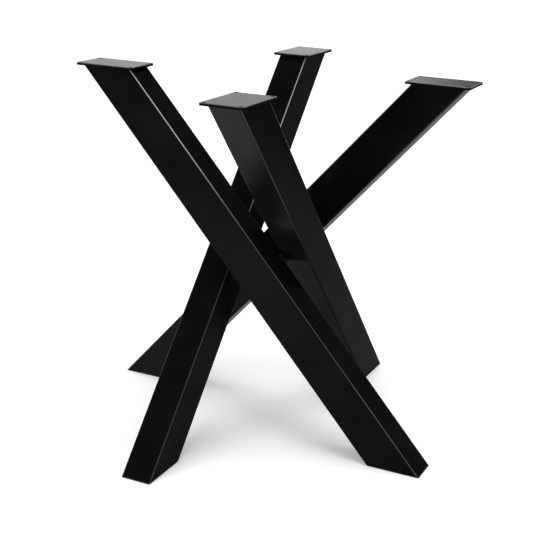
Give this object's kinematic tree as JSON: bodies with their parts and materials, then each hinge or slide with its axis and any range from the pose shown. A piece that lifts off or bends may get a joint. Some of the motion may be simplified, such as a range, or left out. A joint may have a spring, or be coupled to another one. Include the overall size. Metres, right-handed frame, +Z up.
{
  "type": "x shaped table base",
  "caption": "Welded pinwheel table base of leaning rectangular steel tubes that cross edge to edge, with screw plates on top and level cut feet.",
  "frame": {"origin": "on the floor, on the four-fold axis of the base", "axes": "+Z up; each leg leans along X or along Y"},
  "size_m": [0.7598, 0.7598, 0.72],
  "materials": {
    "powder_coat": "black satin powder coat with a fine texture",
    "coated_weld": "weld bead under the same black powder coat",
    "insert_plastic": "moulded black plastic"
  },
  "bodies": {
    "root": {"leg_tube_1": "powder_coat", "leg_tube_2": "powder_coat", "leg_tube_3": "powder_coat", "leg_tube_4": "powder_coat", "top_plate_1": "powder_coat", "top_plate_2": "powder_coat", "top_plate_3": "powder_coat", "top_plate_4": "powder_coat", "plate_weld_1": "coated_weld", "plate_weld_2": "coated_weld", "plate_weld_3": "coated_weld", "plate_weld_4": "coated_weld", "crossing_weld_1": "coated_weld", "crossing_weld_2": "coated_weld", "crossing_weld_3": "coated_weld", "crossing_weld_4": "coated_weld", "foot_insert_1": "insert_plastic", "foot_insert_2": "insert_plastic", "foot_insert_3": "insert_plastic", "foot_insert_4": "insert_plastic"}
  },
  "joints": []
}
